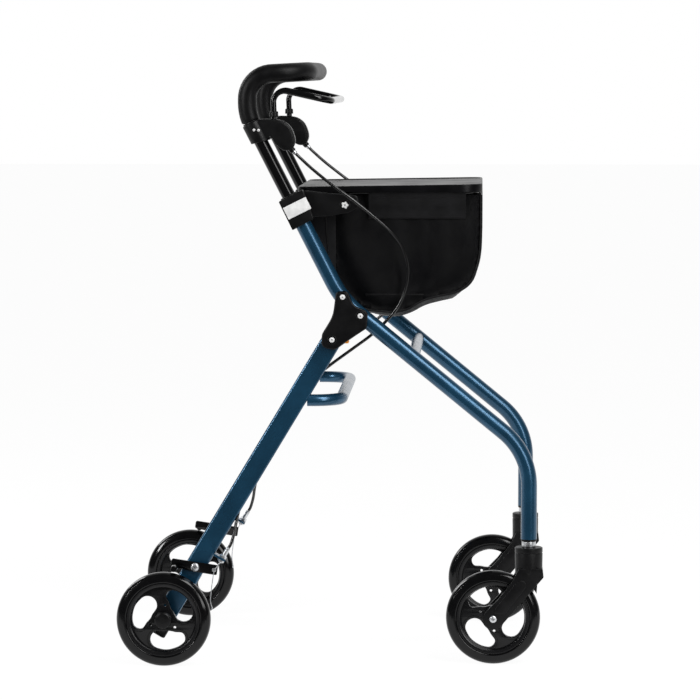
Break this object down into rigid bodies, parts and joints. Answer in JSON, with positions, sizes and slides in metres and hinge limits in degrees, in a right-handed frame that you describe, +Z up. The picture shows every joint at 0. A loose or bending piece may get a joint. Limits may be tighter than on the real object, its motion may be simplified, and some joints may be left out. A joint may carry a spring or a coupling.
{
  "type": "indoor walker",
  "caption": "Folding indoor walker: bent-tube frame on swivel casters and braked rear wheels, with a height-adjustable U handle, a U brake lever, a tray and a fabric bag.",
  "frame": {"origin": "on the floor, in the middle of the walker's length and width", "axes": "+X forwards, the way the walker is pushed; +Y to the walker's left; +Z up"},
  "size_m": [0.6767, 0.5408, 0.9548],
  "materials": {
    "blue_paint": "dark metallic blue gloss paint",
    "black_paint": "black satin powder coat",
    "black_plastic": "fine-grained black moulded plastic",
    "wheel_plastic": "semi-gloss black moulded plastic",
    "tyre": "smooth black solid tyre",
    "foam": "black closed-cell foam sleeve",
    "steel": "bright zinc plate",
    "nylon": "black woven nylon",
    "cable_housing": "smooth black extruded sleeve",
    "orange_plastic": "orange moulded plastic"
  },
  "bodies": {
    "frame": {"side_tube_right": "blue_paint", "side_tube_left": "blue_paint", "front_cross_tube": "blue_paint", "knee_plate_outer_right": "black_plastic", "knee_plate_outer_left": "black_plastic", "knee_plate_inner_right": "black_plastic", "knee_plate_inner_left": "black_plastic", "knee_bolt_upper_right": "steel", "knee_bolt_upper_left": "steel", "knee_bolt_middle_right": "steel", "knee_bolt_middle_left": "steel", "knee_bolt_pivot_right": "steel", "knee_bolt_pivot_left": "steel", "collar_right": "black_plastic", "collar_left": "black_plastic", "arm_screw_right": "steel", "arm_screw_left": "steel", "caster_stem_right": "steel", "caster_stem_left": "steel", "brake_cable_upper_right": "cable_housing", "brake_cable_upper_left": "cable_housing", "bag_frame": "black_paint", "bag": "nylon"},
    "handle": {"handle_tube": "black_paint", "foam_grip": "foam", "brake_housing_right": "black_plastic", "brake_housing_left": "black_plastic", "lever_pin_right": "steel", "lever_pin_left": "steel"},
    "lever": {"brake_lever": "black_paint"},
    "tray": {"tray": "black_plastic"},
    "rear_legs": {"rear_leg_right": "blue_paint", "rear_leg_left": "blue_paint", "leg_bridge_tube": "blue_paint", "rear_axle_right": "steel", "rear_axle_left": "steel", "cable_adjuster_right": "steel", "cable_adjuster_left": "steel", "brake_pivot_bolt_right": "steel", "brake_pivot_bolt_left": "steel", "brake_cable_lower_right": "cable_housing", "brake_cable_lower_left": "cable_housing"},
    "brake_arm_right": {"brake_arm_right": "black_paint"},
    "rear_wheel_right": {"rim_rear_right": "wheel_plastic", "tyre_rear_right": "tyre"},
    "caster_right": {"caster_fork_right": "black_plastic", "fork_axle_bolt_right": "steel"},
    "front_wheel_right": {"rim_front_right": "wheel_plastic", "tyre_front_right": "tyre"},
    "fold_release_right": {"fold_release_button_right": "orange_plastic"},
    "brake_arm_left": {"brake_arm_left": "black_paint"},
    "rear_wheel_left": {"rim_rear_left": "wheel_plastic", "tyre_rear_left": "tyre"},
    "caster_left": {"caster_fork_left": "black_plastic", "fork_axle_bolt_left": "steel"},
    "front_wheel_left": {"rim_front_left": "wheel_plastic", "tyre_front_left": "tyre"},
    "fold_release_left": {"fold_release_button_left": "orange_plastic"}
  },
  "joints": [
    {"name": "handle_height", "type": "slide", "parent": "frame", "child": "handle", "axis": [-0.4555, 0, 0.8902], "range_m": [-0.06, 0.03], "deforming": ["brake_cable_upper_right", "brake_cable_upper_left"]},
    {"name": "brake_lever", "type": "hinge", "parent": "handle", "child": "lever", "pos_m": [-0.08774, 0, 0.85329], "axis": [0, -1, 0], "range_deg": [0, 18], "stiffness_Nm_per_rad": 3, "springref_deg": -11.46},
    {"name": "tray_lift", "type": "slide", "parent": "frame", "child": "tray", "axis": [0, 0, 1], "range_m": [0, 0.03]},
    {"name": "leg_fold", "type": "hinge", "parent": "frame", "child": "rear_legs", "pos_m": [0.0036, 0, 0.5179], "axis": [0, -1, 0], "range_deg": [0, 50], "deforming": ["brake_cable_lower_right", "brake_cable_lower_left"]},
    {"name": "brake_arm_right", "type": "hinge", "parent": "rear_legs", "child": "brake_arm_right", "pos_m": [-0.21452, -0.2265, 0.15513], "axis": [0, -1, 0], "range_deg": [0, 5.5]},
    {"name": "rear_wheel_right", "type": "hinge", "parent": "rear_legs", "child": "rear_wheel_right", "pos_m": [-0.2627, -0.25, 0.075], "axis": [0, 1, 0], "continuous": true},
    {"name": "caster_right", "type": "hinge", "parent": "frame", "child": "caster_right", "pos_m": [0.3157, -0.21, 0.18765], "axis": [0, 0, 1], "continuous": true},
    {"name": "front_wheel_right", "type": "hinge", "parent": "caster_right", "child": "front_wheel_right", "pos_m": [0.2593, -0.21, 0.075], "axis": [0, 1, 0], "continuous": true},
    {"name": "fold_release_right", "type": "slide", "parent": "frame", "child": "fold_release_right", "axis": [0, 0, 1], "range_m": [0, 0.003], "stiffness_N_per_m": 500, "springref_m": -0.002},
    {"name": "brake_arm_left", "type": "hinge", "parent": "rear_legs", "child": "brake_arm_left", "pos_m": [-0.21452, 0.2265, 0.15513], "axis": [0, -1, 0], "range_deg": [0, 5.5]},
    {"name": "rear_wheel_left", "type": "hinge", "parent": "rear_legs", "child": "rear_wheel_left", "pos_m": [-0.2627, 0.25, 0.075], "axis": [0, 1, 0], "continuous": true},
    {"name": "caster_left", "type": "hinge", "parent": "frame", "child": "caster_left", "pos_m": [0.3157, 0.21, 0.18765], "axis": [0, 0, 1], "continuous": true},
    {"name": "front_wheel_left", "type": "hinge", "parent": "caster_left", "child": "front_wheel_left", "pos_m": [0.2593, 0.21, 0.075], "axis": [0, 1, 0], "continuous": true},
    {"name": "fold_release_left", "type": "slide", "parent": "frame", "child": "fold_release_left", "axis": [0, 0, 1], "range_m": [0, 0.003], "stiffness_N_per_m": 500, "springref_m": -0.002}
  ],
  "couplings": [
    {"joint": "brake_arm_right", "follows": "brake_lever", "ratio": 0.3056},
    {"joint": "brake_arm_left", "follows": "brake_lever", "ratio": 0.3056}
  ]
}
